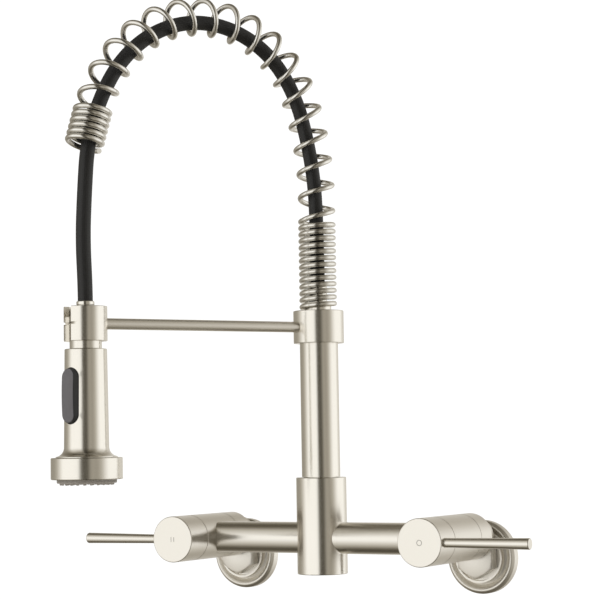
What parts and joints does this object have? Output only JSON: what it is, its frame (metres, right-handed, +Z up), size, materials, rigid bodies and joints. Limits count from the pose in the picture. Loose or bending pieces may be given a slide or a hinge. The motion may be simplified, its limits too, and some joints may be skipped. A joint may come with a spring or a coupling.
{
  "type": "wall-mounted pull-down spring faucet",
  "caption": "Wall-mounted bridge faucet with two lever valves, a swivelling post, a spring arch over a flexible hose and a docked pull-down spray head.",
  "frame": {"origin": "in the wall plane, midway between the two water inlets", "axes": "+X to the right of a person facing the wall, +Y into the wall, +Z up"},
  "size_m": [0.3636, 0.2682, 0.4362],
  "materials": {
    "brushed_nickel": "satin",
    "bright_nickel": "polished",
    "spring_steel": "satin",
    "screw_steel": "plain",
    "raw_brass": "machined",
    "ceramic": "lapped",
    "white_plastic": "moulded",
    "black_plastic": "moulded",
    "black_rubber": "matte",
    "black_hose": "ribbed matte"
  },
  "bodies": {
    "fixture": {"hot_wall_flange": "brushed_nickel", "hot_eccentric": "bright_nickel", "hot_union_nut": "brushed_nickel", "hot_union_washer": "black_rubber", "hot_valve_body": "brushed_nickel", "hot_cartridge": "raw_brass", "hot_seat_seal": "black_rubber", "hot_fixed_disc": "ceramic", "hot_bridge_pipe": "brushed_nickel", "cold_wall_flange": "brushed_nickel", "cold_eccentric": "bright_nickel", "cold_union_nut": "brushed_nickel", "cold_union_washer": "black_rubber", "cold_valve_body": "brushed_nickel", "cold_cartridge": "raw_brass", "cold_seat_seal": "black_rubber", "cold_fixed_disc": "ceramic", "cold_bridge_pipe": "brushed_nickel", "centre_body": "brushed_nickel", "base_plug": "brushed_nickel", "swivel_bush": "white_plastic", "swivel_screw": "screw_steel"},
    "spout": {"post": "brushed_nickel", "post_seals": "black_rubber", "collar": "brushed_nickel", "collar_screw": "screw_steel", "arm": "brushed_nickel", "holder_ring": "brushed_nickel", "post_ferrule": "bright_nickel", "spring": "spring_steel", "hose": "black_hose"},
    "hose_end": {"spray_ferrule": "bright_nickel", "dock_neck": "brushed_nickel", "dock_washer": "black_rubber", "dock_seal": "black_rubber", "check_valve": "white_plastic"},
    "spray_head": {"head_shell": "brushed_nickel", "spray_core": "white_plastic", "toggle_pin": "screw_steel", "spray_bell": "brushed_nickel", "outlet_plate": "black_plastic", "nozzle_face": "black_rubber", "stream_outlet": "black_plastic"},
    "toggle": {"toggle_button": "black_plastic"},
    "diverter": {"diverter_spool": "white_plastic"},
    "hot_handle": {"hot_turning_disc": "ceramic", "hot_spindle": "raw_brass", "hot_handle_cap": "brushed_nickel", "hot_lever": "brushed_nickel", "hot_handle_screw": "screw_steel"},
    "cold_handle": {"cold_turning_disc": "ceramic", "cold_spindle": "raw_brass", "cold_handle_cap": "brushed_nickel", "cold_lever": "brushed_nickel", "cold_handle_screw": "screw_steel"}
  },
  "joints": [
    {"name": "hot_handle_turn", "type": "hinge", "parent": "fixture", "child": "hot_handle", "pos_m": [-0.1016, -0.098, 0.016], "axis": [0, -1, 0], "range_deg": [0, 90]},
    {"name": "cold_handle_turn", "type": "hinge", "parent": "fixture", "child": "cold_handle", "pos_m": [0.1016, -0.098, 0.016], "axis": [0, 1, 0], "range_deg": [0, 90]},
    {"name": "spout_swivel", "type": "hinge", "parent": "fixture", "child": "spout", "pos_m": [0, -0.064, 0.05], "axis": [0, 0, 1], "range_deg": [-60, 120]},
    {"name": "pull_down", "type": "slide", "parent": "spout", "child": "hose_end", "axis": [0, 0, -1], "range_m": [0, 0.1], "stiffness_N_per_m": 40, "springref_m": -0.15, "deforming": ["hose", "spring"]},
    {"name": "head_swivel", "type": "hinge", "parent": "hose_end", "child": "spray_head", "pos_m": [-0.09435, -0.22742, 0.146], "axis": [0, 0, 1], "continuous": true},
    {"name": "toggle_rock", "type": "hinge", "parent": "spray_head", "child": "toggle", "pos_m": [-0.09624, -0.23897, 0.121], "axis": [0.9869, -0.1616, 0], "range_deg": [-4, 4]},
    {"name": "diverter_shift", "type": "slide", "parent": "spray_head", "child": "diverter", "axis": [0, 0, 1], "range_m": [-0.0012, 0.0012]}
  ],
  "couplings": [
    {"joint": "diverter_shift", "follows": "toggle_rock", "m_per_rad": 0.017}
  ]
}
